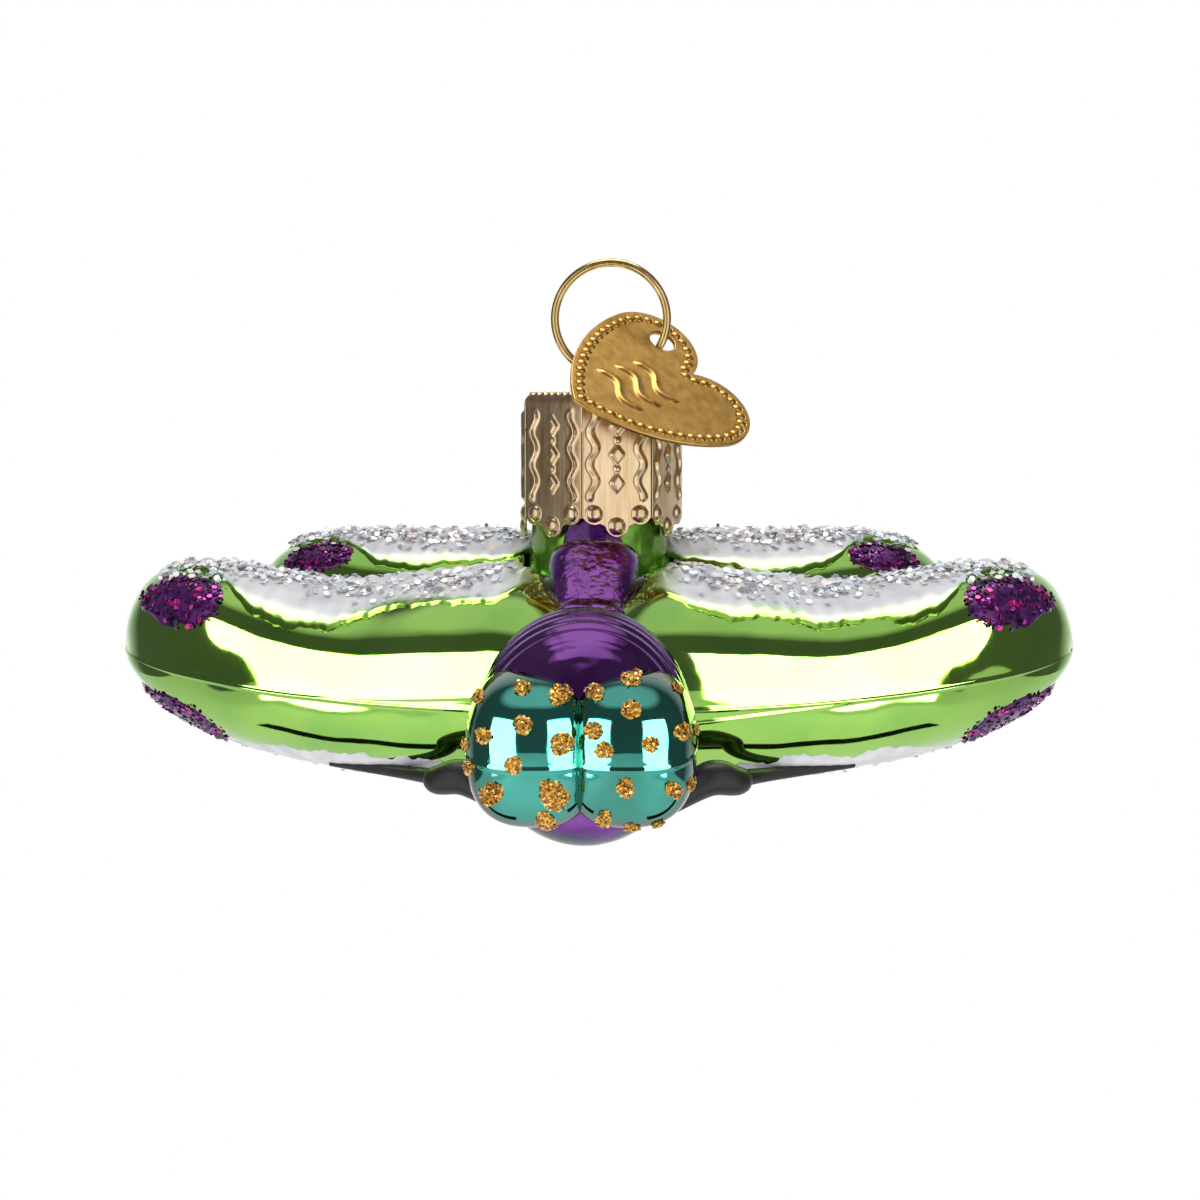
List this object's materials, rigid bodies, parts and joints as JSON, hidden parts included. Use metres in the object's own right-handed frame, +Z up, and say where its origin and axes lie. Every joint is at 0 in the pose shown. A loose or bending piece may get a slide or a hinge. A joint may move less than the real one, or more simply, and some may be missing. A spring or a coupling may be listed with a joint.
{
  "type": "hanging glass ornament",
  "caption": "Blown-glass dragonfly ornament with puffed green wings, purple body and teal eyes, hung nose-down from a stamped gold cap with a wire loop and a heart tag.",
  "frame": {"origin": "inside the top of the wire loop, where a hook or thread carries the ornament, on the axis of the cap", "axes": "+X to the dragonfly's own left wing, +Y towards its tail, +Z up along the cap's axis"},
  "size_m": [0.0998, 0.0902, 0.0601],
  "materials": {
    "green_glass": "silvered inside, clear green lacquer outside, mirror gloss",
    "purple_glass": "silvered inside, purple lacquer outside, mirror gloss",
    "teal_glass": "silvered inside, teal lacquer outside, mirror gloss",
    "silvered_glass": "silvered inside, no lacquer",
    "pearl_enamel": "pearly white enamel paint, brushed on",
    "silver_glitter": "silver holographic flakes in clear glue",
    "purple_glitter": "purple and magenta flakes in clear glue",
    "gold_glitter": "gold flakes in clear glue",
    "black_lacquer": "moulded in relief, black lacquer",
    "stamped_gold": "thin stamped sheet, pale champagne gold",
    "gold_wire": "drawn wire, gold plated",
    "tag_gold": "thin stamped sheet, antique gold"
  },
  "bodies": {
    "cap_and_hanger": {"cap": "stamped_gold", "hanger_wire": "gold_wire"},
    "glass": {"thorax": "purple_glass", "left_eye": "teal_glass", "right_eye": "teal_glass", "mid_body": "purple_glass", "tail": "purple_glass", "neck": "silvered_glass", "left_forewing": "green_glass", "right_forewing": "green_glass", "left_hindwing": "green_glass", "right_hindwing": "green_glass", "left_forewing_enamel": "pearl_enamel", "right_forewing_enamel": "pearl_enamel", "left_hindwing_enamel": "pearl_enamel", "right_hindwing_enamel": "pearl_enamel", "left_forewing_glitter": "silver_glitter", "right_forewing_glitter": "silver_glitter", "left_hindwing_glitter": "silver_glitter", "right_hindwing_glitter": "silver_glitter", "left_forewing_spots": "purple_glitter", "right_forewing_spots": "purple_glitter", "left_hindwing_spots": "purple_glitter", "right_hindwing_spots": "purple_glitter", "left_eye_dots": "gold_glitter", "right_eye_dots": "gold_glitter", "left_legs": "black_lacquer", "right_legs": "black_lacquer"},
    "tag": {"heart_tag": "tag_gold"}
  },
  "joints": [
    {"name": "glass_pull", "type": "slide", "parent": "cap_and_hanger", "child": "glass", "axis": [0, 0, -1], "range_m": [0, 0.03]},
    {"name": "tag_swing", "type": "hinge", "parent": "cap_and_hanger", "child": "tag", "pos_m": [0.00635, 0, -0.00833], "axis": [0.5, 0, 0.866], "range_deg": [-34, 38]}
  ]
}
